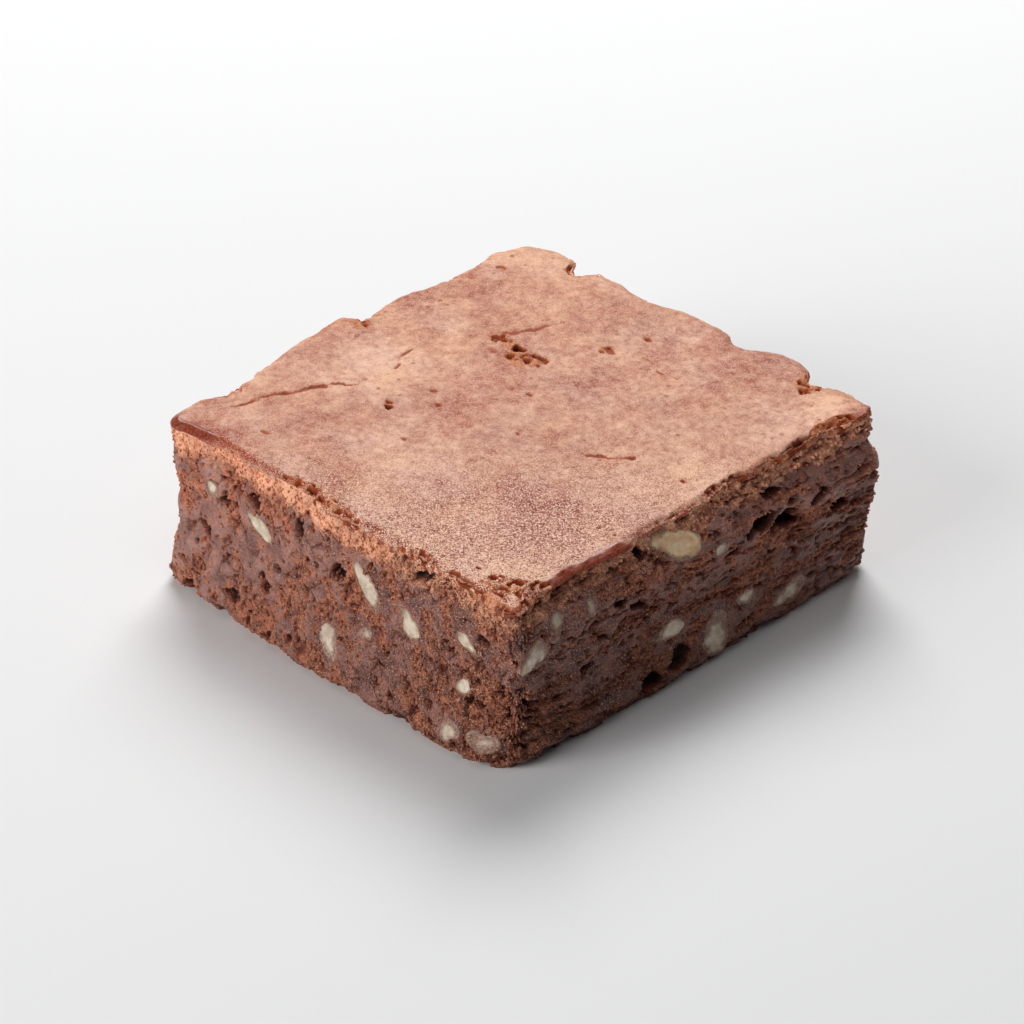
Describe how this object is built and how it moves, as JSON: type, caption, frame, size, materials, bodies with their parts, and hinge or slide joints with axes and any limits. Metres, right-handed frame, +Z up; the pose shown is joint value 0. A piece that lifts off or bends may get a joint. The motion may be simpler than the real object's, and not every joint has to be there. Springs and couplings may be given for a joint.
{
  "type": "brownie",
  "caption": "Thick square of baked chocolate nut brownie with a thin crackled papery crust, knife-cut crumbly sides and inlaid chopped walnut pieces.",
  "frame": {"origin": "middle of the bounding box at the base, where the square rests", "axes": "+Z up, the shortest extent; the cut side called front faces -Y and the one called right faces +X"},
  "size_m": [0.0706, 0.074, 0.0243],
  "materials": {
    "brownie": "baked crumb and dry papery crust",
    "walnut": "knife-cut nut flesh, slightly oily"
  },
  "bodies": {
    "root": {"brownie": "brownie", "walnut_front_1": "walnut", "walnut_front_2": "walnut", "walnut_front_3": "walnut", "walnut_front_4": "walnut", "walnut_front_5": "walnut", "walnut_front_6": "walnut", "walnut_front_7": "walnut", "walnut_front_8": "walnut", "walnut_front_9": "walnut", "walnut_front_10": "walnut", "walnut_right_1": "walnut", "walnut_right_2": "walnut", "walnut_right_3": "walnut", "walnut_right_4": "walnut", "walnut_right_5": "walnut", "walnut_right_6": "walnut", "walnut_right_7": "walnut", "walnut_right_8": "walnut", "walnut_right_9": "walnut", "walnut_back_1": "walnut", "walnut_back_2": "walnut", "walnut_back_3": "walnut", "walnut_back_4": "walnut", "walnut_back_5": "walnut", "walnut_left_1": "walnut", "walnut_left_2": "walnut", "walnut_left_3": "walnut", "walnut_left_4": "walnut", "walnut_left_5": "walnut"}
  },
  "joints": []
}
